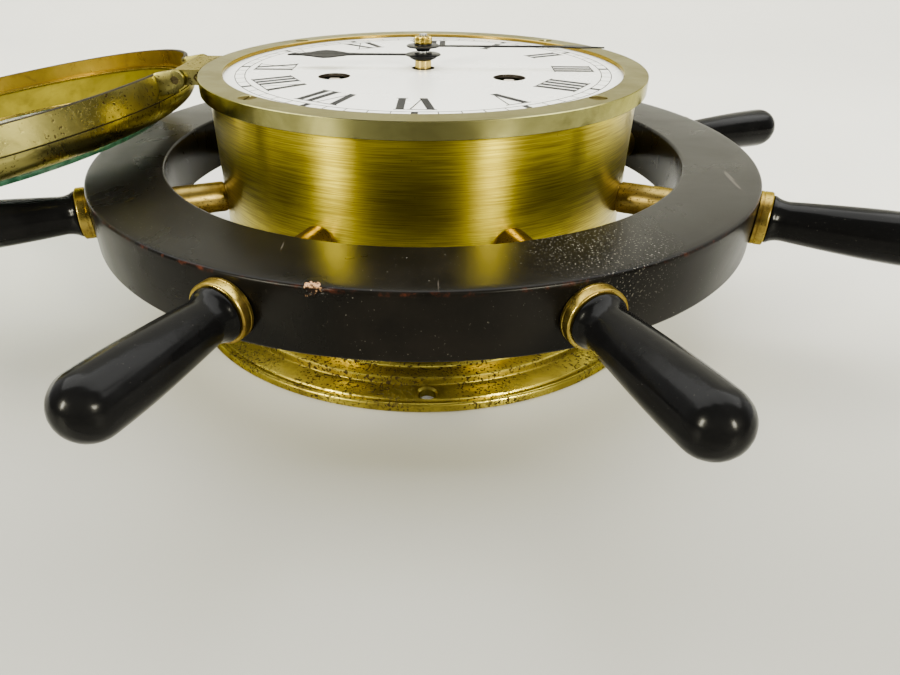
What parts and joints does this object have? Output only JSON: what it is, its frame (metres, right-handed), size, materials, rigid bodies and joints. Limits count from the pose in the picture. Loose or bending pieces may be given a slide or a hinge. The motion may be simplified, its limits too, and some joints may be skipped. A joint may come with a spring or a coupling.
{
  "type": "ship's deck clock",
  "caption": "Brass drum clock in a black turned ship's-wheel rim with spokes and handles, hinged glazed bezel swung open over the left side.",
  "frame": {"origin": "centre of the base flange's resting face", "axes": "+Z along the clock's axis, out of the dial; +Y towards XII; -X towards the bezel hinge"},
  "size_m": [0.3932, 0.3068, 0.0918],
  "materials": {
    "satin_brass": "satin brushed, lightly tarnished",
    "aged_brass": "aged, unpolished",
    "polished_brass": "polished",
    "movement_brass": "fine turned",
    "black_wood": "satin black lacquer",
    "black_handle": "gloss black lacquer",
    "dial_white": "satin white enamel",
    "hand_black": "gloss black",
    "steel": "ground steel",
    "spring_steel": "blued steel",
    "bell_metal": "turned bell metal",
    "sight_ring_olive": "aged lacquer",
    "glass": "clear, greenish edge"
  },
  "bodies": {
    "clock_case": {"case_drum": "satin_brass", "base_flange": "aged_brass", "back_cover": "aged_brass", "case_lugs": "movement_brass", "seat_ring": "polished_brass", "seat_ring_screws": "aged_brass", "hinge_lug": "polished_brass", "dial": "dial_white", "dial_feet": "movement_brass", "movement_brackets": "steel", "bracket_screws": "steel", "wheel_rim": "black_wood", "spoke_rods": "polished_brass", "spoke_screws": "steel", "handle_ferrules": "aged_brass", "wheel_handles": "black_handle", "front_plate": "movement_brass", "back_plate": "movement_brass", "plate_pillars": "movement_brass", "pillar_nuts": "steel", "bell": "bell_metal", "bell_stand": "steel", "click_springs": "spring_steel", "hairspring": "spring_steel"},
    "bezel": {"bezel_ring": "aged_brass", "bezel_hinge_ears": "aged_brass", "hinge_pin": "aged_brass", "sight_ring": "sight_ring_olive", "bezel_glass": "glass"},
    "centre_arbor_and_minute_hand": {"centre_wheel": "movement_brass", "centre_arbor": "steel", "cannon_pinion": "steel", "minute_hand": "hand_black", "hand_nut": "polished_brass"},
    "hour_wheel_and_hand": {"hour_wheel": "polished_brass", "hour_collet": "polished_brass", "hour_hand": "hand_black"},
    "minute_wheel": {"minute_wheel": "movement_brass"},
    "going_barrel": {"going_barrel": "movement_brass", "going_mainspring": "spring_steel"},
    "going_winding_arbor": {"going_winding_arbor": "steel", "going_ratchet": "movement_brass"},
    "going_click": {"going_click": "steel"},
    "intermediate_wheel": {"intermediate_wheel": "movement_brass"},
    "third_wheel": {"third_wheel": "movement_brass"},
    "fourth_wheel": {"fourth_wheel": "movement_brass"},
    "escape_wheel": {"escape_wheel": "steel"},
    "pallet_lever": {"pallet_lever": "steel"},
    "balance_wheel": {"balance_wheel": "movement_brass"},
    "strike_barrel": {"strike_barrel": "movement_brass", "strike_mainspring": "spring_steel"},
    "strike_winding_arbor": {"strike_winding_arbor": "steel", "strike_ratchet": "movement_brass"},
    "strike_click": {"strike_click": "steel"},
    "pin_wheel": {"pin_wheel": "movement_brass"},
    "warning_wheel": {"warning_wheel": "movement_brass"},
    "fly": {"fly": "movement_brass"},
    "strike_hammer": {"strike_hammer": "steel"}
  },
  "joints": [
    {"name": "bezel_hinge", "type": "hinge", "parent": "clock_case", "child": "bezel", "pos_m": [-0.0821, 0, 0.0793], "axis": [0, 1, 0], "range_deg": [0, 189.63]},
    {"name": "minute_hand_spin", "type": "hinge", "parent": "clock_case", "child": "centre_arbor_and_minute_hand", "pos_m": [0, 0, 0.0705], "axis": [0, 0, 1], "continuous": true},
    {"name": "hour_hand_spin", "type": "hinge", "parent": "clock_case", "child": "hour_wheel_and_hand", "pos_m": [0, 0, 0.0705], "axis": [0, 0, 1], "continuous": true},
    {"name": "minute_wheel_spin", "type": "hinge", "parent": "clock_case", "child": "minute_wheel", "pos_m": [0, -0.015, 0.0705], "axis": [0, 0, 1], "continuous": true},
    {"name": "going_barrel_spin", "type": "hinge", "parent": "clock_case", "child": "going_barrel", "pos_m": [0.02874, -0.01496, 0.0445], "axis": [0, 0, 1], "continuous": true},
    {"name": "going_winding_spin", "type": "hinge", "parent": "clock_case", "child": "going_winding_arbor", "pos_m": [0.02874, -0.01496, 0.0445], "axis": [0, 0, 1], "continuous": true},
    {"name": "going_click_swing", "type": "hinge", "parent": "clock_case", "child": "going_click", "pos_m": [0.03549, -0.00327, 0.0705], "axis": [0, 0, 1], "range_deg": [-12, 0]},
    {"name": "intermediate_spin", "type": "hinge", "parent": "clock_case", "child": "intermediate_wheel", "pos_m": [0.01489, 0.01565, 0.0445], "axis": [0, 0, 1], "continuous": true},
    {"name": "third_spin", "type": "hinge", "parent": "clock_case", "child": "third_wheel", "pos_m": [-0.00391, 0.02216, 0.0445], "axis": [0, 0, 1], "continuous": true},
    {"name": "fourth_spin", "type": "hinge", "parent": "clock_case", "child": "fourth_wheel", "pos_m": [0.00702, 0.03518, 0.0445], "axis": [0, 0, 1], "continuous": true},
    {"name": "escape_spin", "type": "hinge", "parent": "clock_case", "child": "escape_wheel", "pos_m": [0.0219, 0.03917, 0.0445], "axis": [0, 0, 1], "continuous": true},
    {"name": "lever_rock", "type": "hinge", "parent": "clock_case", "child": "pallet_lever", "pos_m": [0.03076, 0.0376, 0.0445], "axis": [0, 0, 1], "range_deg": [-3, 3]},
    {"name": "balance_swing", "type": "hinge", "parent": "clock_case", "child": "balance_wheel", "pos_m": [0.04118, 0.03274, 0.0445], "axis": [0, 0, 1], "range_deg": [-110, 110], "stiffness_Nm_per_rad": 0.000015},
    {"name": "pin_wheel_spin", "type": "hinge", "parent": "clock_case", "child": "pin_wheel", "pos_m": [-0.03457, 0.01813, 0.0445], "axis": [0, 0, 1], "continuous": true},
    {"name": "strike_barrel_spin", "type": "hinge", "parent": "clock_case", "child": "strike_barrel", "pos_m": [-0.02874, -0.01496, 0.0445], "axis": [0, 0, 1], "continuous": true},
    {"name": "strike_winding_spin", "type": "hinge", "parent": "clock_case", "child": "strike_winding_arbor", "pos_m": [-0.02874, -0.01496, 0.0445], "axis": [0, 0, 1], "continuous": true},
    {"name": "strike_click_swing", "type": "hinge", "parent": "clock_case", "child": "strike_click", "pos_m": [-0.03549, -0.00327, 0.0705], "axis": [0, 0, 1], "range_deg": [0, 12]},
    {"name": "warning_spin", "type": "hinge", "parent": "clock_case", "child": "warning_wheel", "pos_m": [-0.0249, 0.03489, 0.0445], "axis": [0, 0, 1], "continuous": true},
    {"name": "fly_spin", "type": "hinge", "parent": "clock_case", "child": "fly", "pos_m": [-0.01387, 0.04592, 0.0445], "axis": [0, 0, 1], "continuous": true},
    {"name": "hammer_swing", "type": "hinge", "parent": "clock_case", "child": "strike_hammer", "pos_m": [-0.0445, 0.037, 0.0445], "axis": [0, 0, 1], "range_deg": [-15, 0], "stiffness_Nm_per_rad": 0.002, "springref_deg": 2.86}
  ],
  "couplings": [
    {"joint": "intermediate_spin", "follows": "minute_hand_spin", "ratio": -0.2},
    {"joint": "going_barrel_spin", "follows": "minute_hand_spin", "ratio": 0.033333},
    {"joint": "third_spin", "follows": "minute_hand_spin", "ratio": -8},
    {"joint": "fourth_spin", "follows": "minute_hand_spin", "ratio": 60},
    {"joint": "escape_spin", "follows": "minute_hand_spin", "ratio": -600},
    {"joint": "minute_wheel_spin", "follows": "minute_hand_spin", "ratio": -0.33333},
    {"joint": "hour_hand_spin", "follows": "minute_hand_spin", "ratio": 0.083333},
    {"joint": "strike_barrel_spin", "follows": "pin_wheel_spin", "ratio": -0.16667},
    {"joint": "warning_spin", "follows": "pin_wheel_spin", "ratio": -9.75},
    {"joint": "fly_spin", "follows": "pin_wheel_spin", "ratio": 85.312}
  ]
}
